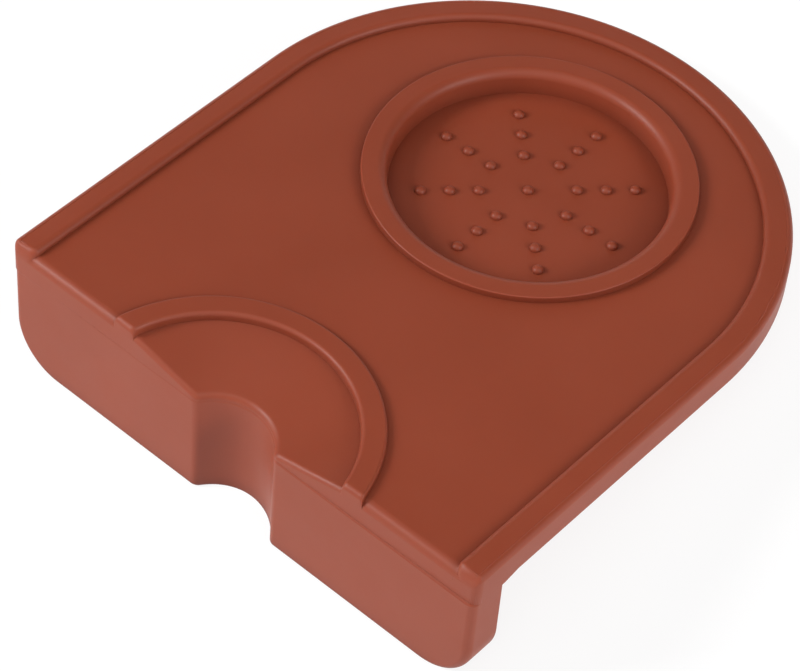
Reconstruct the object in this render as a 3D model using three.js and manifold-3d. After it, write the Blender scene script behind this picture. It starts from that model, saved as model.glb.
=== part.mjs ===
// Espresso tamping mat: a moulded silicone sheet with a raised edge, a sunk round seat for the
// tamper, a raised half ring with a sloping cradle for the portafilter, and a lip that hangs over
// the edge of the counter. Units are millimetres, +Z up, and -Y is the front. The sheet rests on
// z = 0 and the lip hangs below it. The pieces are drawn from the front face, y = 0, and the group
// then moves them back, so that the origin is under the centre of the tamper seat.

import * as THREE from "three";
import { mergeVertices } from "three/addons/utils/BufferGeometryUtils.js";
import Module from "manifold-3d";

// ---- driving dimensions ----

const WIDTH = 125;
const LENGTH = 140.5;
const SHEET_THICKNESS = 6.3;
const CORNER_RADIUS = 1.8; // upright edges at the two front corners
const JOINT_GAP = 0.3; // between curved faces of neighbouring pieces

const RIM_WIDTH = 6.2;
const RIM_HEIGHT = 1.5;

const SEAT_Y = 90;
const SEAT_MOUTH_RADIUS = 30.5; // inside of the ring at its top
const SEAT_FLOOR_RADIUS = 29.8;
const SEAT_FLOOR_THICKNESS = 2.2;
const SEAT_RING_RADIUS = 35.7;
const SEAT_RING_HEIGHT = 1.5; // above the sheet
const SEAT_SOCKET_RADIUS = 33.4; // hole in the sheet that the floor and ring fill

const NUB_RADIUS = 1.25;
const NUB_HEIGHT = 1.1;
const NUB_TOP_RADIUS = 0.4; // small flat on top, where the tamper's base rests
const NUB_SPOKES = 8;
const NUB_CIRCLES = [10.4, 16.6, 22.8];

const ARCH_Y = -5.7; // the arch's centre lies in front of the front edge
const ARCH_OUTER_RADIUS = 33.8;
const ARCH_INNER_RADIUS = 28.5;
const ARCH_HEIGHT = 1.2;

const CRADLE_HIGH_Z = 5.5; // at the foot of the arch
const CRADLE_LOW_Z = 1.3; // at the notch

const NOTCH_Y = -6.1;
const NOTCH_RADIUS = 12.1;
const NOTCH_EDGE_RADIUS = 2;

const LIP_DEPTH = 26.7; // below the resting face
const LIP_THICKNESS = 9;
const LIP_INSET = 0.35; // the lip is this much narrower than the sheet at each end
const LIP_CORNER_RADIUS = 12;

// ---- derived dimensions ----

const HALF_WIDTH = WIDTH / 2;
const BACK_Y = LENGTH - HALF_WIDTH; // centre of the round back
const RIM_FOOT = HALF_WIDTH - RIM_WIDTH;
const CUT_PAST = 1; // cutters run this far past the faces that they cut
const ABOVE = SHEET_THICKNESS + CUT_PAST;
const BIG_ARC_STEPS = 48;
const SMALL_ARC_STEPS = 6;
const RING_STEPS = 64;
const NOTCH_STEPS = 14;
const NUB_SIDES = 12;
const NUB_RINGS = 3;

// ---- materials: one silicone in two shades, for the upper side and for the upright faces ----

function silicone(colour) {
  return new THREE.MeshStandardMaterial({ color: colour, roughness: 0.5, metalness: 0 });
}

const TOP_COLOUR = 0x8f4430;
const SIDE_COLOUR = 0xa55d4d;

// ---- helpers ----

const wasm = await Module();
wasm.setup();

// points of an arc from angle a0 to a1 in degrees, both ends included
function arc(cx, cy, radius, a0, a1, steps) {
  const points = [];
  for (let i = 0; i <= steps; i += 1) {
    const a = THREE.MathUtils.degToRad(a0 + ((a1 - a0) * i) / steps);
    points.push(new THREE.Vector2(cx + radius * Math.cos(a), cy + radius * Math.sin(a)));
  }
  return points;
}

function circle(cx, cy, radius) {
  return arc(cx, cy, radius, 0, 360, RING_STEPS).slice(0, -1);
}

function rectangle(x0, y0, x1, y1) {
  return [
    new THREE.Vector2(x0, y0),
    new THREE.Vector2(x1, y0),
    new THREE.Vector2(x1, y1),
    new THREE.Vector2(x0, y1),
  ];
}

// a closed upright prism over a flat outline
function prism(points, z0, z1) {
  const shape = new THREE.Shape(points);
  const geometry = new THREE.ExtrudeGeometry(shape, { depth: z1 - z0, bevelEnabled: false });
  geometry.translate(0, 0, z0);
  return geometry;
}

// a solid of revolution about +Z through (cx, cy) from [radius, z] pairs
function turned(profile, cx, cy, steps) {
  const points = profile.map(([radius, z]) => new THREE.Vector2(radius, z));
  const geometry = new THREE.LatheGeometry(points, steps);
  geometry.rotateX(Math.PI / 2);
  geometry.translate(cx, cy, 0);
  return geometry;
}

function toSolid(geometry) {
  const bare = geometry.clone();
  bare.deleteAttribute("normal");
  bare.deleteAttribute("uv");
  const merged = mergeVertices(bare, 1e-4);
  return new wasm.Manifold(
    new wasm.Mesh({
      numProp: 3,
      vertProperties: new Float32Array(merged.attributes.position.array),
      triVerts: new Uint32Array(merged.index.array),
    }),
  );
}

function toGeometry(solid) {
  const mesh = solid.getMesh();
  const geometry = new THREE.BufferGeometry();
  geometry.setAttribute("position", new THREE.BufferAttribute(mesh.vertProperties, 3));
  geometry.setIndex(new THREE.BufferAttribute(mesh.triVerts, 1));
  geometry.computeVertexNormals();
  return geometry;
}

function piece(name, geometry, colour) {
  const mesh = new THREE.Mesh(geometry, silicone(colour));
  mesh.name = name;
  return mesh;
}

// ---- outlines ----

// the mat's outer outline, counter-clockwise from the left front corner
function sheetOutline() {
  const x = HALF_WIDTH - CORNER_RADIUS;
  return [
    ...arc(-x, CORNER_RADIUS, CORNER_RADIUS, 180, 270, SMALL_ARC_STEPS),
    ...arc(x, CORNER_RADIUS, CORNER_RADIUS, 270, 360, SMALL_ARC_STEPS),
    ...arc(0, BACK_Y, HALF_WIDTH, 0, 180, BIG_ARC_STEPS),
  ];
}

// the rim: a U that is open at the front
function rimOutline() {
  const x = HALF_WIDTH - CORNER_RADIUS;
  return [
    new THREE.Vector2(-RIM_FOOT, 0),
    ...arc(0, BACK_Y, RIM_FOOT, 180, 0, BIG_ARC_STEPS),
    new THREE.Vector2(RIM_FOOT, 0),
    ...arc(x, CORNER_RADIUS, CORNER_RADIUS, 270, 360, SMALL_ARC_STEPS),
    ...arc(0, BACK_Y, HALF_WIDTH, 0, 180, BIG_ARC_STEPS),
    ...arc(-x, CORNER_RADIUS, CORNER_RADIUS, 180, 270, SMALL_ARC_STEPS),
  ];
}

// half angle, in degrees above the x axis, at which a circle centred at (0, cy) meets y = 0
function frontAngle(radius, cy) {
  return THREE.MathUtils.radToDeg(Math.asin(-cy / radius));
}

function archOutline() {
  const outer = frontAngle(ARCH_OUTER_RADIUS, ARCH_Y);
  const inner = frontAngle(ARCH_INNER_RADIUS, ARCH_Y);
  return [
    ...arc(0, ARCH_Y, ARCH_OUTER_RADIUS, outer, 180 - outer, BIG_ARC_STEPS / 2),
    ...arc(0, ARCH_Y, ARCH_INNER_RADIUS, 180 - inner, inner, BIG_ARC_STEPS / 2),
  ];
}

// the round notch as a cutter: its upright edges at the front face are rounded
function notchOutline() {
  const r = NOTCH_EDGE_RADIUS;
  const reach = NOTCH_RADIUS + r;
  const x = Math.sqrt(reach ** 2 - (r - NOTCH_Y) ** 2);
  const tilt = THREE.MathUtils.radToDeg(Math.atan2(r - NOTCH_Y, x));
  const front = -NOTCH_RADIUS;
  return [
    new THREE.Vector2(-x, front),
    new THREE.Vector2(x, front),
    ...arc(x, r, r, 270, 180 + tilt, SMALL_ARC_STEPS),
    ...arc(0, NOTCH_Y, NOTCH_RADIUS, tilt, 180 - tilt, NOTCH_STEPS).slice(1, -1),
    ...arc(-x, r, r, -tilt, -90, SMALL_ARC_STEPS),
  ];
}

// ---- pieces ----

// flat sheet with a round socket for the seat and a bay for the cradle
function matSheet() {
  const sheet = toSolid(prism(sheetOutline(), 0, SHEET_THICKNESS));
  const socket = toSolid(prism(circle(0, SEAT_Y, SEAT_SOCKET_RADIUS), -CUT_PAST, ABOVE));
  const bay = toSolid(prism(circle(0, ARCH_Y, ARCH_INNER_RADIUS), -CUT_PAST, ABOVE));
  return toGeometry(sheet.subtract(socket).subtract(bay));
}

function edgeRim() {
  return prism(rimOutline(), SHEET_THICKNESS, SHEET_THICKNESS + RIM_HEIGHT);
}

function seatFloor() {
  const radius = SEAT_SOCKET_RADIUS - JOINT_GAP;
  const profile = [
    [0, 0],
    [radius, 0],
    [radius, SEAT_FLOOR_THICKNESS],
    [0, SEAT_FLOOR_THICKNESS],
  ];
  return turned(profile, 0, SEAT_Y, RING_STEPS);
}

// stands on the seat floor inside the socket, and overlaps the sheet with a flange
function seatRing() {
  const shank = SEAT_SOCKET_RADIUS - JOINT_GAP;
  const top = SHEET_THICKNESS + SEAT_RING_HEIGHT;
  const chamfer = 0.5;
  const profile = [
    [SEAT_FLOOR_RADIUS, SEAT_FLOOR_THICKNESS],
    [shank, SEAT_FLOOR_THICKNESS],
    [shank, SHEET_THICKNESS],
    [SEAT_RING_RADIUS, SHEET_THICKNESS],
    [SEAT_RING_RADIUS, top],
    [SEAT_MOUTH_RADIUS + chamfer, top],
    [SEAT_MOUTH_RADIUS, top - chamfer],
    [SEAT_FLOOR_RADIUS, SEAT_FLOOR_THICKNESS],
  ];
  return turned(profile, 0, SEAT_Y, RING_STEPS);
}

// a low dome with a small flat top, which stands on the seat floor
function seatNub(x, y) {
  const topAngle = Math.acos(NUB_TOP_RADIUS / NUB_RADIUS);
  const profile = [[0, SEAT_FLOOR_THICKNESS]];
  for (let i = 0; i <= NUB_RINGS; i += 1) {
    const a = topAngle * (i / NUB_RINGS);
    const rise = Math.sin(a) / Math.sin(topAngle);
    profile.push([NUB_RADIUS * Math.cos(a), SEAT_FLOOR_THICKNESS + NUB_HEIGHT * rise]);
  }
  profile.push([0, SEAT_FLOOR_THICKNESS + NUB_HEIGHT]);
  return turned(profile, x, y, NUB_SIDES);
}

function seatNubs() {
  const nubs = [piece("seat_nub_centre", seatNub(0, SEAT_Y), TOP_COLOUR)];
  for (let spoke = 0; spoke < NUB_SPOKES; spoke += 1) {
    const a = (2 * Math.PI * spoke) / NUB_SPOKES;
    NUB_CIRCLES.forEach((radius, circle) => {
      const x = radius * Math.cos(a);
      const y = SEAT_Y + radius * Math.sin(a);
      nubs.push(piece(`seat_nub_${spoke + 1}_${circle + 1}`, seatNub(x, y), TOP_COLOUR));
    });
  }
  return nubs;
}

function portafilterArch() {
  return prism(archOutline(), SHEET_THICKNESS, SHEET_THICKNESS + ARCH_HEIGHT);
}

// fan-shaped floor inside the arch: a cone that falls from the arch's foot to the notch
function portafilterCradle() {
  const radius = ARCH_INNER_RADIUS - JOINT_GAP;
  const notchReach = NOTCH_RADIUS + NOTCH_Y - ARCH_Y; // arch centre to the notch's far wall
  const profile = [
    [0, 0],
    [radius, 0],
    [radius, CRADLE_HIGH_Z],
    [notchReach, CRADLE_LOW_Z],
    [0, CRADLE_LOW_Z],
  ];
  const fan = toSolid(turned(profile, 0, ARCH_Y, RING_STEPS));
  const kept = toSolid(prism(rectangle(-HALF_WIDTH, 0, HALF_WIDTH, LENGTH), -CUT_PAST, ABOVE));
  const notch = toSolid(prism(notchOutline(), -CUT_PAST, ABOVE));
  return toGeometry(fan.intersect(kept).subtract(notch));
}

// hangs over the counter's edge: rounded lower corners, rounded front edges, round spout notch
function frontLip() {
  const half = HALF_WIDTH - LIP_INSET;
  const r = LIP_CORNER_RADIUS;
  const face = new THREE.Shape([
    new THREE.Vector2(half, 0),
    new THREE.Vector2(-half, 0),
    ...arc(-half + r, -LIP_DEPTH + r, r, 180, 270, 2 * SMALL_ARC_STEPS),
    ...arc(half - r, -LIP_DEPTH + r, r, 270, 360, 2 * SMALL_ARC_STEPS),
  ]);
  const slab = new THREE.ExtrudeGeometry(face, { depth: LIP_THICKNESS, bevelEnabled: false });
  slab.rotateX(Math.PI / 2);
  slab.translate(0, LIP_THICKNESS, 0);
  const x = half - CORNER_RADIUS;
  const plan = prism(
    [
      ...arc(-x, CORNER_RADIUS, CORNER_RADIUS, 180, 270, SMALL_ARC_STEPS),
      ...arc(x, CORNER_RADIUS, CORNER_RADIUS, 270, 360, SMALL_ARC_STEPS),
      new THREE.Vector2(half, LIP_THICKNESS),
      new THREE.Vector2(-half, LIP_THICKNESS),
    ],
    -LIP_DEPTH,
    0,
  );
  const notch = toSolid(prism(notchOutline(), -LIP_DEPTH - CUT_PAST, CUT_PAST));
  return toGeometry(toSolid(slab).intersect(toSolid(plan)).subtract(notch));
}

// ---- assembly ----

const mat = new THREE.Group();
mat.name = "espresso_tamping_mat";
mat.position.set(0, -SEAT_Y, 0);
mat.add(
  piece("mat_sheet", matSheet(), TOP_COLOUR),
  piece("edge_rim", edgeRim(), TOP_COLOUR),
  piece("seat_floor", seatFloor(), TOP_COLOUR),
  piece("seat_ring", seatRing(), TOP_COLOUR),
  ...seatNubs(),
  piece("portafilter_arch", portafilterArch(), TOP_COLOUR),
  piece("portafilter_cradle", portafilterCradle(), TOP_COLOUR),
  piece("front_lip", frontLip(), SIDE_COLOUR),
);

export default mat;
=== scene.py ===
"""Espresso tamping mat in satin silicone: fine meshes, material, studio and camera round the CAD frame.

All shapes are worked out in millimetres in the CAD frame (+Z up, -Y front) and written in metres.
The mat is a moulding, so its upper side is a height over the plan: each piece triangulates its own
stretch of the plan between its edge curves, and lifts every point by one height function.
"""
import math

import bmesh
import bpy
from mathutils import Matrix, Vector
from mathutils.geometry import delaunay_2d_cdt


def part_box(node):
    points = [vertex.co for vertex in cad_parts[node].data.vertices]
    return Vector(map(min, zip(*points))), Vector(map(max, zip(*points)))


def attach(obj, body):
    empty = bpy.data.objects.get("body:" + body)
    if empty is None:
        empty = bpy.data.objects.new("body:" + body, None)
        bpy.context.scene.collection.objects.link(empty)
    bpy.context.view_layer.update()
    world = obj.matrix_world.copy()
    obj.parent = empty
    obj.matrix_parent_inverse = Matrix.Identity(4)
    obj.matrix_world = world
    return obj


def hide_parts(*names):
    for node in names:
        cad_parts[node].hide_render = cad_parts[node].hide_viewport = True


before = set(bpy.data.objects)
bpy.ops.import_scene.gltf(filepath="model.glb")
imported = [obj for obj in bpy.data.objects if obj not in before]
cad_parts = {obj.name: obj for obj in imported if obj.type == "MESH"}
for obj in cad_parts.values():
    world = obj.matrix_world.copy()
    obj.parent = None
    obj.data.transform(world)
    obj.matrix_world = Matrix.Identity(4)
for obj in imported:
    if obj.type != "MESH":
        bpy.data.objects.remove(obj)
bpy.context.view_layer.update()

MM = 0.001
LIP_SIDE_GAP = 0.2       # the lip's CAD solid is narrower than the visible lip by this much on each side


# ---- sizes from the frame, in millimetres ----

def node_box(name):
    low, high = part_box(name)
    return low / MM, high / MM


def circle_through(half_chord, sagitta):
    """Radius of an arc from its half chord and its height over the chord."""
    return (half_chord ** 2 + sagitta ** 2) / (2 * sagitta)


SHEET_LOW, SHEET_HIGH = node_box("mat_sheet")
HALF_WIDTH = SHEET_HIGH.x
FRONT = SHEET_LOW.y
BACK_CENTRE = SHEET_HIGH.y - HALF_WIDTH
SHEET_TOP = SHEET_HIGH.z
RIM_TOP = node_box("edge_rim")[1].z

RING_LOW, RING_HIGH = node_box("seat_ring")
RING_RADIUS = (RING_HIGH.x - RING_LOW.x) / 2
RING_TOP = RING_HIGH.z
FLOOR_TOP = node_box("seat_floor")[1].z

ARCH_HIGH = node_box("portafilter_arch")[1]
ARCH_RADIUS = circle_through(ARCH_HIGH.x, ARCH_HIGH.y - FRONT)
ARCH_CENTRE = ARCH_HIGH.y - ARCH_RADIUS
ARCH_TOP = ARCH_HIGH.z

LIP_LOW, LIP_HIGH = node_box("front_lip")
LIP_HALF = LIP_HIGH.x + LIP_SIDE_GAP
LIP_BOTTOM = LIP_LOW.z
LIP_BACK = LIP_HIGH.y

# ---- sizes of the moulding's own detail, in millimetres ----

FACE_SETBACK = 0.4       # the sheet's front face stands this far back, because the mould halves miss
LIP_MISMATCH = 0.5       # and the lip's face runs from this far back on the left to flush on the right
FRONT_EDGE = 2.2         # rounding along the top of the sheet's front edge
RIM_EDGE = 1.4           # and of the rim's outer edge
ARCH_EDGE_END = 1.3      # and of the arch's two ends
CRADLE_EDGE = 1.1        # and of the cradle's front edge and notch
CORNER_RADIUS = 1.8      # upright edges at the front corners
UNDER_FRONT = 0.02       # under the sheet's outer edge, over the lip
UNDER_EDGE = 1.0         # and past the lip
UNDER_BLEND = 4          # length over which the first grows to the second
RIM_WIDTH = 6.2
RIM_SHOULDER = 1.35      # a shoulder is the rounding along the top of a step
RIM_CORNER = 2.2         # plan radius of the rim's inner corner at each front end
RING_FOOT = 29.7         # radius at the foot of the seat's wall
RING_SHOULDER = 2.2
RING_RIDGE = 0.35        # the ring's outer shoulder
ARCH_INNER = 28.5
ARCH_SHOULDER = 1.0
ARCH_RIDGE = 0.7         # the arch's outer shoulder
CRADLE_HIGH = 5.5        # height of the cradle's floor at the arch
CRADLE_LOW = 1.3         # and at the notch
NOTCH_CENTRE = -6.1      # in front of the front face
NOTCH_RADIUS = 12.1
NOTCH_EDGE = 2.0         # upright edges where the notch meets the front face
LIP_CORNER = 12.0        # the lip's two big lower corners
LIP_EDGE = 1.1           # rounding along the bottom of the lip's face
LIP_BACK_EDGE = 0.8      # and of its back
LIP_TOP_END = 0.35       # and along the top of its two ends, under the sheet
PARTING_EDGE = 0.38      # height of the ledge at the parting line, along the top of the lip's face
DRAFT = math.radians(6)
INLAY = 3.0              # how deep the rim sits in the sheet, out of sight
HIDDEN_STEP = 0.1        # width of the steep walls in the sheet, under the raised pieces
FLAT_MARGIN = 0.25       # a row of points this far past a rounding keeps the flat beside it flat
WIDE_MARGIN = 0.3        # the same, at the sheet's front edge and round the seat's floor

FACE = FRONT + FACE_SETBACK
NOTCH_Y = FACE + NOTCH_CENTRE
ARC_STEPS = 96
CIRCLE_STEPS = 128
ROUND_STEPS = 7
CRISP_ANGLE = math.radians(32)


# ---- profiles and curves ----

def drop(distance, radius):
    """How far a rounded edge has fallen at a distance in from the outline."""
    if distance >= radius:
        return 0.0
    inner = radius - max(distance, 0.0)
    return radius - math.sqrt(max(radius ** 2 - inner ** 2, 0.0))


def round_offsets(radius, steps=ROUND_STEPS):
    """Distances in from an outline at which its rounding turns by equal angles."""
    return [radius * (1 - math.cos(math.pi / 2 * i / steps)) for i in range(steps + 1)]


def step_down(foot_u, high, low, shoulder):
    """A step with a rounded shoulder as (u, z) points.

    It falls towards larger u, and ends in a crease at foot_u.
    """
    straight = high - shoulder + shoulder * math.sin(DRAFT) - low
    top_u = foot_u - shoulder * math.cos(DRAFT) - math.tan(DRAFT) * straight
    points = []
    for i in range(ROUND_STEPS + 1):
        turn = (math.pi / 2 - DRAFT) * i / ROUND_STEPS
        points.append((top_u + shoulder * math.sin(turn), high - shoulder + shoulder * math.cos(turn)))
    return points + [(foot_u, low)]


def mirrored(profile):
    """The same step, falling towards smaller u."""
    return [(-u, z) for u, z in reversed(profile)]


def along(profile, u):
    """Height of a profile at u, held level past its ends."""
    if u <= profile[0][0]:
        return profile[0][1]
    for (u0, z0), (u1, z1) in zip(profile, profile[1:]):
        if u <= u1:
            return z1 if u1 == u0 else z0 + (z1 - z0) * (u - u0) / (u1 - u0)
    return profile[-1][1]


def ease(t):
    """Runs from 0 to 1 with level ends."""
    return t * t * (3 - 2 * t)


def arc(cx, cy, radius, a0, a1, steps):
    """Points of an arc between two angles in degrees."""
    turns = [math.radians(a0 + (a1 - a0) * i / steps) for i in range(steps + 1)]
    return [(cx + radius * math.cos(a), cy + radius * math.sin(a)) for a in turns]


def outline(inset):
    """The mat's outline, moved in by inset: a D with small round front corners."""
    half = HALF_WIDTH - inset
    front = FACE + inset
    corner = max(CORNER_RADIUS - inset, 0.0)
    loop = arc(0, BACK_CENTRE, half, 0, 180, ARC_STEPS)
    if corner:
        loop += arc(-half + corner, front + corner, corner, 180, 270, 12)
        loop += arc(half - corner, front + corner, corner, 270, 360, 12)
    else:
        loop += [(-half, front), (half, front)]
    return loop + loop[:1]


def side_line(inset):
    """A U that runs parallel to the left side, the back and the right side."""
    half = HALF_WIDTH - inset
    return [(half, FACE)] + arc(0, BACK_CENTRE, half, 0, 180, ARC_STEPS) + [(-half, FACE)]


def rim_line(inset):
    """The rim's inner side and its two front ends, moved into the rim by inset."""
    half = HALF_WIDTH - RIM_WIDTH + inset
    centre = HALF_WIDTH - RIM_WIDTH + RIM_CORNER
    radius = max(RIM_CORNER - inset, 0.0)
    y = FACE + max(RIM_CORNER, inset)
    right = [(HALF_WIDTH, FACE + inset)]
    left = [(-HALF_WIDTH, FACE + inset)]
    if radius:
        right += arc(centre, y, radius, 270, 180, 8)
        left += arc(-centre, y, radius, 270, 360, 8)
    return right + arc(0, BACK_CENTRE, half, 0, 180, ARC_STEPS) + left[::-1]


def level_line(inset):
    """A line across the mat, parallel to the front face."""
    return [(-HALF_WIDTH, FACE + inset), (HALF_WIDTH, FACE + inset)]


def front_arc(radius):
    """The part of a circle round the arch's centre that lies behind the front face."""
    low = math.degrees(math.asin((FACE - ARCH_CENTRE) / radius))
    return arc(0, ARCH_CENTRE, radius, low, 180 - low, ARC_STEPS)


def seat_circle(radius):
    """A full circle round the seat's centre."""
    return arc(0, 0, radius, 0, 360, CIRCLE_STEPS)


# ---- distances ----

def side_distance(x, y):
    """Distance in from the sides and the round back."""
    if y < BACK_CENTRE:
        return HALF_WIDTH - abs(x)
    return HALF_WIDTH - math.hypot(x, y - BACK_CENTRE)


def edge_distance(x, y):
    """Distance in from the whole outline, round the front corners too."""
    side = side_distance(x, y)
    front = y - FACE
    if side < CORNER_RADIUS and front < CORNER_RADIUS:
        return CORNER_RADIUS - math.hypot(CORNER_RADIUS - side, CORNER_RADIUS - front)
    return min(side, front)


def rim_distance(x, y):
    """Distance into the rim from its inner foot and its two front ends."""
    inner = RIM_WIDTH - side_distance(x, y)
    front = y - FACE
    if inner < RIM_CORNER and front < RIM_CORNER:
        return RIM_CORNER - math.hypot(RIM_CORNER - inner, RIM_CORNER - front)
    return min(inner, front)


# a rounded upright edge of the notch meets the front face at NOTCH_TANGENT_X, and meets the
# notch's own arc at NOTCH_ARC_X, which is NOTCH_TILT degrees round the notch's centre
NOTCH_TANGENT_X = math.sqrt((NOTCH_RADIUS + NOTCH_EDGE) ** 2 - (NOTCH_EDGE - NOTCH_CENTRE) ** 2)
NOTCH_TILT = math.degrees(math.atan2(NOTCH_EDGE - NOTCH_CENTRE, NOTCH_TANGENT_X))
NOTCH_ARC_X = NOTCH_RADIUS * math.cos(math.radians(NOTCH_TILT))


def notch_distance(x, y):
    """Distance in from the front face and the notch, round the notch's two upright edges too."""
    x = abs(x)
    front = y - FACE
    round_x, round_y = x - NOTCH_TANGENT_X, front - NOTCH_EDGE
    turn = math.degrees(math.atan2(round_y, round_x)) % 360
    if 180 + NOTCH_TILT <= turn <= 270:
        return NOTCH_EDGE - math.hypot(round_x, round_y)
    return min(front, math.hypot(x, y - NOTCH_Y) - NOTCH_RADIUS)


def notch_line(inset):
    """The front edge with its notch, moved in by inset, from left to right."""
    reach = ARCH_INNER + 1
    y = FACE + NOTCH_EDGE
    radius = NOTCH_EDGE - inset
    return (
        [(-reach, FACE + inset)]
        + arc(-NOTCH_TANGENT_X, y, radius, 270, 360 - NOTCH_TILT, 8)
        + arc(0, NOTCH_Y, NOTCH_RADIUS + inset, 180 - NOTCH_TILT, NOTCH_TILT, 40)[1:-1]
        + arc(NOTCH_TANGENT_X, y, radius, 180 + NOTCH_TILT, 270, 8)
        + [(reach, FACE + inset)]
    )


# ---- meshes ----

def finish_mesh(name, bm):
    """Writes a bmesh in millimetres as an object in metres, with crisp edges where it turns sharply."""
    bmesh.ops.remove_doubles(bm, verts=bm.verts, dist=1e-4)
    bmesh.ops.dissolve_degenerate(bm, edges=bm.edges, dist=1e-4)
    bmesh.ops.recalc_face_normals(bm, faces=bm.faces)
    for face in bm.faces:
        face.smooth = True
    for edge in bm.edges:
        edge.smooth = len(edge.link_faces) == 2 and edge.calc_face_angle() < CRISP_ANGLE
    bmesh.ops.scale(bm, vec=(MM, MM, MM), verts=bm.verts)
    mesh = bpy.data.meshes.new(name)
    bm.to_mesh(mesh)
    bm.free()
    piece = bpy.data.objects.new(name, mesh)
    bpy.context.scene.collection.objects.link(piece)
    weigh = piece.modifiers.new("even_normals", "WEIGHTED_NORMAL")
    weigh.keep_sharp = True
    return piece


def between(name, curves, keep, high, low, place):
    """A closed solid over a flat region: curves set its triangles, keep(a, b) tells inside from
    outside, high(a, b) and low(a, b) give its two faces, and place(a, b, c) puts a point in space."""
    points, edges = [], []
    for curve in curves:
        first = len(points)
        points += [Vector(p) for p in curve]
        edges += [(first + i, first + i + 1) for i in range(len(curve) - 1)]
    flat, _, triangles, *_ = delaunay_2d_cdt(points, edges, [], 0, 1e-5)
    kept = []
    for triangle in triangles:
        a = sum(flat[i].x for i in triangle) / 3
        b = sum(flat[i].y for i in triangle) / 3
        if keep(a, b):
            kept.append(triangle)
    bm = bmesh.new()
    used = sorted({i for triangle in kept for i in triangle})
    top = {i: bm.verts.new(place(flat[i].x, flat[i].y, high(flat[i].x, flat[i].y))) for i in used}
    base = {i: bm.verts.new(place(flat[i].x, flat[i].y, low(flat[i].x, flat[i].y))) for i in used}
    sides = {}
    for triangle in kept:
        bm.faces.new([top[i] for i in triangle])
        bm.faces.new([base[i] for i in reversed(triangle)])
        for i, j in zip(triangle, triangle[1:] + triangle[:1]):
            if sides.pop((j, i), None) is None:
                sides[(i, j)] = True
    for i, j in sides:
        bm.faces.new([top[j], top[i], base[i], base[j]])
    return finish_mesh(name, bm)


def upright(a, b, c):
    """Places a point of the plan at its height."""
    return (a, b, c)


def turned(name, profile, x, y, steps):
    """A closed solid of revolution about an upright axis, from (radius, z) points."""
    bm = bmesh.new()
    rings = []
    for radius, z in profile:
        if radius < 1e-6:
            rings.append([bm.verts.new((x, y, z))] * steps)
            continue
        turns = [2 * math.pi * i / steps for i in range(steps)]
        circle = [(x + radius * math.cos(a), y + radius * math.sin(a), z) for a in turns]
        rings.append([bm.verts.new(point) for point in circle])
    for inner, outer in zip(rings, rings[1:]):
        for i in range(steps):
            j = (i + 1) % steps
            corners = list(dict.fromkeys([inner[i], outer[i], outer[j], inner[j]]))
            if len(corners) > 2:
                bm.faces.new(corners)
    return finish_mesh(name, bm)


# ---- the moulding's step profiles ----

RIM_STEP = step_down(RIM_WIDTH, RIM_TOP, SHEET_TOP, RIM_SHOULDER)
RING_OUTER = step_down(RING_RADIUS, RING_TOP, SHEET_TOP, RING_RIDGE)
RING_INNER = mirrored(step_down(-RING_FOOT, RING_TOP, FLOOR_TOP, RING_SHOULDER))
ARCH_OUTER = step_down(ARCH_RADIUS, ARCH_TOP, SHEET_TOP, ARCH_RIDGE)
ARCH_STEP = mirrored(step_down(-ARCH_INNER, ARCH_TOP, CRADLE_HIGH, ARCH_SHOULDER))
RING_EDGE = RING_OUTER[-1][0]
ARCH_EDGE = ARCH_OUTER[-1][0]

# undersides of the raised pieces, out of sight in the sheet
RIM_BED = SHEET_TOP - INLAY
ARCH_BED = 4.0
RING_BED = 1.6
FLOOR_BED = 1.2
NUB_ROOT = 0.3           # how far a dome reaches down into the floor


# ---- pieces ----

def sheet_high(x, y):
    """The sheet's top, which dips out of sight under the rim, the arch and the ring."""
    seat = math.hypot(x, y)
    arch = math.hypot(x, y - ARCH_CENTRE)
    open_top = SHEET_TOP - drop(y - FACE, FRONT_EDGE)
    return min(
        open_top,
        along([(RIM_WIDTH - HIDDEN_STEP, RIM_BED), (RIM_WIDTH, SHEET_TOP)], side_distance(x, y)),
        along([(ARCH_EDGE - HIDDEN_STEP, ARCH_BED), (ARCH_EDGE, SHEET_TOP)], arch),
        along([(RING_FOOT - HIDDEN_STEP, FLOOR_BED), (RING_FOOT, RING_BED),
               (RING_EDGE - HIDDEN_STEP, RING_BED), (RING_EDGE, SHEET_TOP)], seat),
    )


def sheet_low(x, y):
    """The sheet's underside, with an edge that is sharp over the lip and grows round behind it."""
    past = min(max((y - LIP_BACK) / UNDER_BLEND, 0), 1)
    return drop(edge_distance(x, y), UNDER_FRONT + (UNDER_EDGE - UNDER_FRONT) * past)


def make_sheet():
    insets = sorted(set(round_offsets(UNDER_EDGE) + round_offsets(UNDER_FRONT, 3)[1:]))
    curves = [outline(d) for d in insets]
    curves += [level_line(d) for d in round_offsets(FRONT_EDGE, 10) + [FRONT_EDGE + WIDE_MARGIN]]
    curves += [level_line(LIP_BACK - FACE + d) for d in range(UNDER_BLEND + 1)]
    curves += [side_line(RIM_WIDTH), side_line(RIM_WIDTH - HIDDEN_STEP)]
    curves += [side_line(RIM_WIDTH + FLAT_MARGIN)]
    curves += [front_arc(ARCH_INNER)]
    curves += [front_arc(ARCH_EDGE + d) for d in (-HIDDEN_STEP, 0, FLAT_MARGIN)]
    curves += [seat_circle(RING_FOOT + d) for d in (-HIDDEN_STEP, 0)]
    curves += [seat_circle(RING_EDGE + d) for d in (-HIDDEN_STEP, 0, FLAT_MARGIN)]

    def keep(x, y):
        return edge_distance(x, y) > 0 and math.hypot(x, y - ARCH_CENTRE) > ARCH_INNER

    return between("mat_sheet_moulding", curves, keep, sheet_high, sheet_low, upright)


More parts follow.
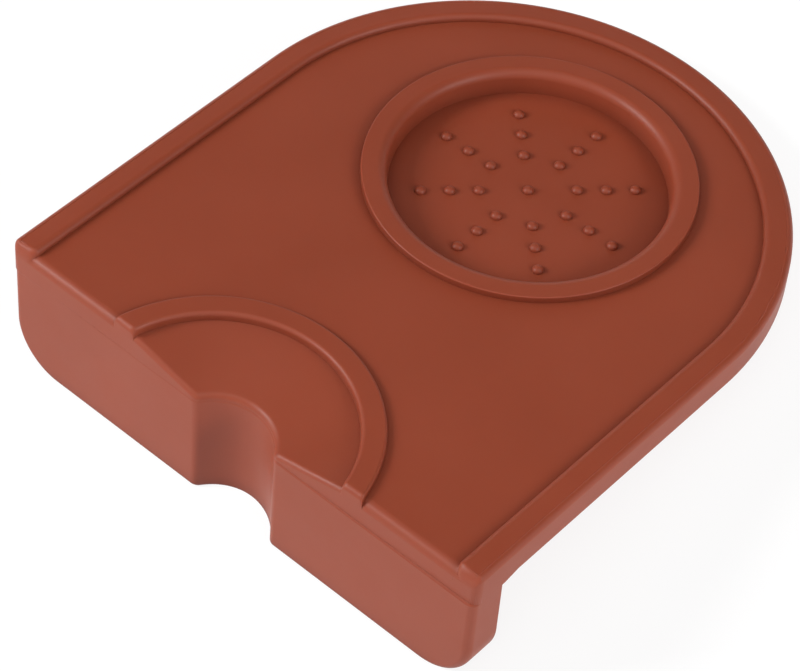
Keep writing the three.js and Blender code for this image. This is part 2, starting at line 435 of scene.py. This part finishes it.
def make_rim():
    def high(x, y):
        bump = along(RIM_STEP, RIM_WIDTH - rim_distance(x, y))
        if side_distance(x, y) < RIM_EDGE:
            turn = min(max(math.atan2(y - FACE, side_distance(x, y)) / (math.pi / 2), 0), 1)
        else:
            turn = 0
        radius = FRONT_EDGE + (RIM_EDGE - FRONT_EDGE) * ease(turn)
        return bump - drop(edge_distance(x, y), radius)

    def keep(x, y):
        return edge_distance(x, y) > 0 and side_distance(x, y) < RIM_WIDTH

    curves = [outline(d) for d in round_offsets(RIM_EDGE, 9)]
    curves += [outline(RIM_EDGE + FLAT_MARGIN)]
    curves += [level_line(d) for d in round_offsets(FRONT_EDGE, 10)]
    curves += [side_line(RIM_WIDTH)]
    curves += [rim_line(RIM_WIDTH - u) for u, _ in RIM_STEP]
    curves += [rim_line(RIM_WIDTH - RIM_STEP[0][0] + FLAT_MARGIN)]
    return between("edge_rim_moulding", curves, keep, high, lambda x, y: RIM_BED, upright)


def make_arch():
    profile = ARCH_STEP + ARCH_OUTER

    def high(x, y):
        return along(profile, math.hypot(x, y - ARCH_CENTRE)) - drop(y - FACE, ARCH_EDGE_END)

    def keep(x, y):
        return y > FACE and ARCH_INNER < math.hypot(x, y - ARCH_CENTRE) < ARCH_EDGE

    curves = [front_arc(u) for u, _ in profile]
    curves += [level_line(d) for d in round_offsets(ARCH_EDGE_END) + [ARCH_EDGE_END + FLAT_MARGIN]]
    return between("portafilter_arch_moulding", curves, keep, high, lambda x, y: ARCH_BED, upright)


def make_cradle():
    mouth = NOTCH_RADIUS + NOTCH_Y - ARCH_CENTRE
    cone = [(mouth, CRADLE_LOW), (ARCH_INNER, CRADLE_HIGH)]

    def high(x, y):
        return along(cone, math.hypot(x, y - ARCH_CENTRE)) - drop(notch_distance(x, y), CRADLE_EDGE)

    def keep(x, y):
        return notch_distance(x, y) > 0 and math.hypot(x, y - ARCH_CENTRE) < ARCH_INNER

    curves = [notch_line(d) for d in round_offsets(CRADLE_EDGE) + [CRADLE_EDGE + FLAT_MARGIN]]
    rings = 9
    curves += [front_arc(ARCH_INNER - i * (ARCH_INNER - mouth - 2) / rings) for i in range(rings + 1)]
    return between("portafilter_cradle_moulding", curves, keep, high, lambda x, y: 0.0, upright)


def make_ring():
    profile = [(RING_FOOT, RING_BED)]
    profile += RING_INNER + RING_OUTER
    profile += [(RING_EDGE, RING_BED), (RING_FOOT, RING_BED)]
    return turned("seat_ring_moulding", profile, 0, 0, CIRCLE_STEPS)


def make_floor():
    profile = [(0, FLOOR_BED), (RING_FOOT, FLOOR_BED)]
    profile += [(RING_FOOT, FLOOR_TOP), (RING_FOOT - WIDE_MARGIN, FLOOR_TOP)]
    profile += [(RING_FOOT * f, FLOOR_TOP) for f in (0.75, 0.5, 0.25, 0)]
    return turned("seat_floor_moulding", profile, 0, 0, CIRCLE_STEPS)


def make_nub(node):
    """A low dome on the CAD dome's own place and size."""
    low, high = node_box(node)
    centre = (low + high) / 2
    radius = (high.x - low.x) / 2
    height = high.z - FLOOR_TOP
    profile = [(0, FLOOR_TOP - NUB_ROOT), (radius, FLOOR_TOP - NUB_ROOT), (radius, FLOOR_TOP)]
    steps = 9
    for i in range(1, steps + 1):
        turn = math.pi / 2 * i / steps
        out = radius * math.cos(turn) if i < steps else 0
        profile.append((out, FLOOR_TOP + height * math.sin(turn)))
    return turned(node + "_dome", profile, centre.x, centre.y, 32)


# ---- the lip: drawn on its front face, in x and z, and given depth ----

def lip_edge(x, z):
    """Distance in from the lip's ends and bottom, and the radius of its rounding there."""
    side, bottom = LIP_HALF - abs(x), z - LIP_BOTTOM
    if side < LIP_CORNER and bottom < LIP_CORNER:
        across, down = LIP_CORNER - side, LIP_CORNER - bottom
        turn = math.atan2(down, across) / (math.pi / 2)
        radius = CORNER_RADIUS + (LIP_EDGE - CORNER_RADIUS) * ease(turn)
        return LIP_CORNER - math.hypot(across, down), radius
    return (side, CORNER_RADIUS) if side < bottom else (bottom, LIP_EDGE)


def lip_line(share, back=False):
    """The lip's ends and bottom, moved in by a share of the rounding's radius there."""
    points = []
    cx, cz = LIP_HALF - LIP_CORNER, LIP_BOTTOM + LIP_CORNER
    for side in (-1, 1):
        turns = [i / 20 for i in range(21)]
        corner = []
        for t in turns:
            front_radius = CORNER_RADIUS + (LIP_EDGE - CORNER_RADIUS) * ease(t)
            radius = LIP_BACK_EDGE if back else front_radius
            reach = LIP_CORNER - share * radius
            a = math.pi / 2 * t
            corner.append((side * (cx + reach * math.cos(a)), cz - reach * math.sin(a)))
        edge_x = corner[0][0]
        path = [(edge_x, 0.0)] + corner
        points += path if side < 0 else path[::-1]
    return points


def notch_depth(x):
    """How far the notch goes in behind the front face, at a place across the mat."""
    x = abs(x)
    if x >= NOTCH_TANGENT_X:
        return 0.0
    if x > NOTCH_ARC_X:
        return NOTCH_EDGE - math.sqrt(NOTCH_EDGE ** 2 - (x - NOTCH_TANGENT_X) ** 2)
    return math.sqrt(NOTCH_RADIUS ** 2 - x ** 2) + NOTCH_CENTRE


def make_lip():
    """The lip, whose face leans back to the left, so that a ledge shows under the sheet at the right."""
    def front(x, z):
        inside, radius = lip_edge(x, z)
        skew = LIP_MISMATCH * (0.5 - x / (2 * HALF_WIDTH))
        ledge = (FACE_SETBACK - skew) * max(1 + z / PARTING_EDGE, 0)
        return FRONT + skew + notch_depth(x) + drop(inside, radius) + ledge

    def back(x, z):
        return LIP_BACK - drop(lip_edge(x, z)[0], LIP_BACK_EDGE)

    def keep(x, z):
        top_end = LIP_HALF - drop(-z, LIP_TOP_END)
        return z < 0 and abs(x) < top_end and lip_edge(x, z)[0] > 0

    shares = [1 - math.cos(math.pi / 2 * i / ROUND_STEPS) for i in range(ROUND_STEPS + 1)]
    curves = [lip_line(s) for s in shares]
    curves += [lip_line(s, back=True) for s in shares[2::2]]
    curves += [[(-LIP_HALF, -d), (LIP_HALF, -d)] for d in (0.0, PARTING_EDGE, PARTING_EDGE + 0.2)]
    for side in (-1, 1):
        corner = arc(LIP_HALF - LIP_TOP_END, -LIP_TOP_END, LIP_TOP_END, 0, 90, 5)
        curves.append([(side * x, z) for x, z in corner])
    stations = [NOTCH_ARC_X * math.sin(math.pi / 2 * i / 16) for i in range(17)]
    stations += [NOTCH_ARC_X + (NOTCH_TANGENT_X - NOTCH_ARC_X) * i / 7 for i in range(1, 8)]
    stations += [NOTCH_TANGENT_X + FLAT_MARGIN]
    for x in sorted({-s for s in stations} | set(stations)):
        curves.append([(x, 0.0), (x, LIP_BOTTOM)])
    return between("front_lip_moulding", curves, keep, back, front, lambda x, z, depth: (x, depth, z))


# ---- material ----

# sockets of a colour Mix node, which shares its names between several kinds of value
MIX_A, MIX_B, MIX_RESULT = 6, 7, 2


def silicone():
    """Reddish-brown moulded silicone: satin, with a fine grain, faint clouding and hazy gloss, and
    painted shade that darkens its colour in creases and hollows.
    """
    material = bpy.data.materials.new("silicone")
    material.use_nodes = True
    nodes, links = material.node_tree.nodes, material.node_tree.links
    shader = nodes["Principled BSDF"]
    shader.inputs["IOR"].default_value = 1.36
    shader.inputs["Subsurface Weight"].default_value = 0.25
    shader.inputs["Subsurface Radius"].default_value = (1.0, 0.4, 0.2)
    shader.inputs["Subsurface Scale"].default_value = 0.0006
    place = nodes.new("ShaderNodeTexCoord")

    def noise(scale, detail, roughness=0.5):
        node = nodes.new("ShaderNodeTexNoise")
        node.inputs["Scale"].default_value = scale
        node.inputs["Detail"].default_value = detail
        node.inputs["Roughness"].default_value = roughness
        links.new(place.outputs["Object"], node.inputs["Vector"])
        return node

    def ramp(source, low, high, at=(0.3, 0.7)):
        node = nodes.new("ShaderNodeValToRGB")
        node.color_ramp.elements[0].position, node.color_ramp.elements[1].position = at
        node.color_ramp.elements[0].color = low
        node.color_ramp.elements[1].color = high
        links.new(source.outputs["Fac"], node.inputs["Fac"])
        return node

    cloud = noise(38, 4)
    colour = ramp(cloud, (0.246, 0.0458, 0.0192, 1), (0.266, 0.0506, 0.0220, 1))
    # painted shade: ambient occlusion darkens the base colour in creases and hollows, such as along the
    # seat's wall and round the nubs
    crease_occlusion = nodes.new("ShaderNodeAmbientOcclusion")
    crease_occlusion.samples = 8
    crease_occlusion.inputs["Distance"].default_value = 0.005
    painted_crease_shade = nodes.new("ShaderNodeValToRGB")
    painted_crease_shade.color_ramp.elements[0].position = 0.3
    painted_crease_shade.color_ramp.elements[0].color = (0.52, 0.42, 0.38, 1)
    painted_crease_shade.color_ramp.elements[1].position = 0.95
    painted_crease_shade.color_ramp.elements[1].color = (1.0, 1.0, 1.0, 1)
    links.new(crease_occlusion.outputs["AO"], painted_crease_shade.inputs["Fac"])
    # multiplies the painted crease shade into the base colour
    crease_shade_multiply = nodes.new("ShaderNodeMix")
    crease_shade_multiply.data_type = "RGBA"
    crease_shade_multiply.blend_type = "MULTIPLY"
    crease_shade_multiply.inputs["Factor"].default_value = 1.0
    links.new(colour.outputs["Color"], crease_shade_multiply.inputs[MIX_A])
    links.new(painted_crease_shade.outputs["Color"], crease_shade_multiply.inputs[MIX_B])
    links.new(crease_shade_multiply.outputs[MIX_RESULT], shader.inputs["Base Color"])
    smear = noise(90, 5, 0.6)
    gloss = ramp(smear, (0.44, 0.44, 0.44, 1), (0.50, 0.50, 0.50, 1))
    links.new(gloss.outputs["Color"], shader.inputs["Roughness"])
    grain = noise(2600, 2)
    swell = noise(160, 2)
    grain_bump = nodes.new("ShaderNodeBump")
    grain_bump.inputs["Strength"].default_value = 0.12
    grain_bump.inputs["Distance"].default_value = 0.00004
    swell_bump = nodes.new("ShaderNodeBump")
    swell_bump.inputs["Strength"].default_value = 0.15
    swell_bump.inputs["Distance"].default_value = 0.0001
    links.new(swell.outputs["Fac"], swell_bump.inputs["Height"])
    links.new(grain.outputs["Fac"], grain_bump.inputs["Height"])
    links.new(swell_bump.outputs["Normal"], grain_bump.inputs["Normal"])
    links.new(grain_bump.outputs["Normal"], shader.inputs["Normal"])
    return material


def dress(piece, material, *nodes):
    piece.data.materials.append(material)
    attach(piece, "root")
    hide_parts(*nodes)


def make_mat():
    material = silicone()
    dress(make_sheet(), material, "mat_sheet")
    dress(make_rim(), material, "edge_rim")
    dress(make_ring(), material, "seat_ring")
    dress(make_floor(), material, "seat_floor")
    dress(make_arch(), material, "portafilter_arch")
    dress(make_cradle(), material, "portafilter_cradle")
    dress(make_lip(), material, "front_lip")
    for node in sorted(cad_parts):
        if node.startswith("seat_nub"):
            dress(make_nub(node), material, node)


# ---- studio ----

LAMP_DISTANCE = 1.3      # metres
FLOOR_GAP = 0.0002       # metres between the lip's bottom edge and the floor

# the mat stands on the lip's bottom edge and on the sheet's back edge, so the floor is sloped
FLOOR_SLOPE = math.atan2(-LIP_BOTTOM, SHEET_HIGH.y - FRONT)


def make_floor_plane():
    """A pale floor with a glow of its own that grows with distance, so that it stays white."""
    size = 4.0
    bm = bmesh.new()
    bmesh.ops.create_grid(bm, x_segments=8, y_segments=8, size=size)
    mesh = bpy.data.meshes.new("studio_floor")
    bm.to_mesh(mesh)
    bm.free()
    floor = bpy.data.objects.new("studio_floor", mesh)
    bpy.context.scene.collection.objects.link(floor)
    floor.rotation_euler = (FLOOR_SLOPE, 0, 0)
    floor.location = (0, FRONT * MM, LIP_BOTTOM * MM - FLOOR_GAP)
    material = bpy.data.materials.new("pale_floor")
    material.use_nodes = True
    nodes, links = material.node_tree.nodes, material.node_tree.links
    shader = nodes["Principled BSDF"]
    shader.inputs["Base Color"].default_value = (0.18, 0.18, 0.18, 1)
    shader.inputs["Roughness"].default_value = 0.9
    shader.inputs["Specular IOR Level"].default_value = 0.0
    shader.inputs["Emission Color"].default_value = (1.0, 1.0, 1.0, 1)
    place = nodes.new("ShaderNodeTexCoord")
    away = nodes.new("ShaderNodeVectorMath")
    away.operation = "LENGTH"
    glow = nodes.new("ShaderNodeMapRange")
    for socket, value in (("From Min", 0.12), ("From Max", 0.5), ("To Min", 0.83), ("To Max", 1.05)):
        glow.inputs[socket].default_value = value
    links.new(place.outputs["Object"], away.inputs[0])
    links.new(away.outputs["Value"], glow.inputs["Value"])
    links.new(glow.outputs["Result"], shader.inputs["Emission Strength"])
    mesh.materials.append(material)


def softbox(name, azimuth, elevation, size, strength):
    """A soft box turned to the mat, at an azimuth (0 is the front, 90 the right) and an elevation.
    Its strength is the light that falls on a surface facing it at the mat, in watts per square metre."""
    a, e = math.radians(azimuth), math.radians(elevation)
    towards = Vector((math.sin(a) * math.cos(e), -math.cos(a) * math.cos(e), math.sin(e)))
    light = bpy.data.lights.new(name, "AREA")
    light.shape = "RECTANGLE"
    light.size, light.size_y = size
    light.energy = strength * math.pi * LAMP_DISTANCE ** 2
    lamp = bpy.data.objects.new(name, light)
    bpy.context.scene.collection.objects.link(lamp)
    lamp.location = towards * LAMP_DISTANCE
    lamp.rotation_euler = towards.to_track_quat("Z", "Y").to_euler()
    lamp.visible_camera = False


def make_world():
    """White round the horizon and nearly dark above, like a sweep in a dim studio."""
    world = bpy.data.worlds.new("studio")
    bpy.context.scene.world = world
    world.use_nodes = True
    nodes, links = world.node_tree.nodes, world.node_tree.links
    place = nodes.new("ShaderNodeTexCoord")
    split = nodes.new("ShaderNodeSeparateXYZ")
    links.new(place.outputs["Generated"], split.inputs["Vector"])
    ramp = nodes.new("ShaderNodeValToRGB")
    ramp.color_ramp.elements[0].position = 0.1
    ramp.color_ramp.elements[0].color = (1.0, 1.0, 1.0, 1)
    ramp.color_ramp.elements[1].position = 0.3
    ramp.color_ramp.elements[1].color = (0.03, 0.03, 0.03, 1)
    links.new(split.outputs["Z"], ramp.inputs["Fac"])
    links.new(ramp.outputs["Color"], nodes["Background"].inputs["Color"])
    nodes["Background"].inputs["Strength"].default_value = 1.05


CAMERA_AZIMUTH = 37.70   # degrees, 0 is the front and 90 the right
CAMERA_ELEVATION = 48.02
CAMERA_ROLL = 5.14
CAMERA_DISTANCE = 0.6483
CAMERA_TARGET = Vector((0.0066, -0.0480, 0.0))
CAMERA_LENS = 144.3      # millimetres, on a sensor 36 mm wide


def make_camera():
    azimuth = math.radians(CAMERA_AZIMUTH)
    elevation = math.radians(CAMERA_ELEVATION)
    roll = math.radians(CAMERA_ROLL)
    back = Vector((
        math.sin(azimuth) * math.cos(elevation),
        -math.cos(azimuth) * math.cos(elevation),
        math.sin(elevation),
    ))
    level = Vector((math.cos(azimuth), math.sin(azimuth), 0))
    rise = back.cross(level)
    right = level * math.cos(roll) + rise * math.sin(roll)
    up = back.cross(right)
    data = bpy.data.cameras.new("camera")
    data.sensor_width = 36
    data.lens = CAMERA_LENS
    data.clip_start = 0.01
    data.clip_end = 50
    camera = bpy.data.objects.new("camera", data)
    bpy.context.scene.collection.objects.link(camera)
    turn = Matrix((right, up, back)).transposed().to_4x4()
    camera.matrix_world = Matrix.Translation(CAMERA_TARGET + back * CAMERA_DISTANCE) @ turn
    bpy.context.scene.camera = camera


make_mat()
make_floor_plane()
make_world()
softbox("key", 316, 29, (0.36, 0.46), 2.7)
softbox("side", 95, 29, (0.40, 0.46), 1.6)
softbox("fill", 38, 46, (1.2, 1.1), 0.85)
softbox("top", 20, 75, (1.1, 1.1), 0.66)
softbox("backdrop", 218, 15, (1.6, 0.8), 0.5)
make_camera()
bpy.context.scene.view_settings.view_transform = "Standard"
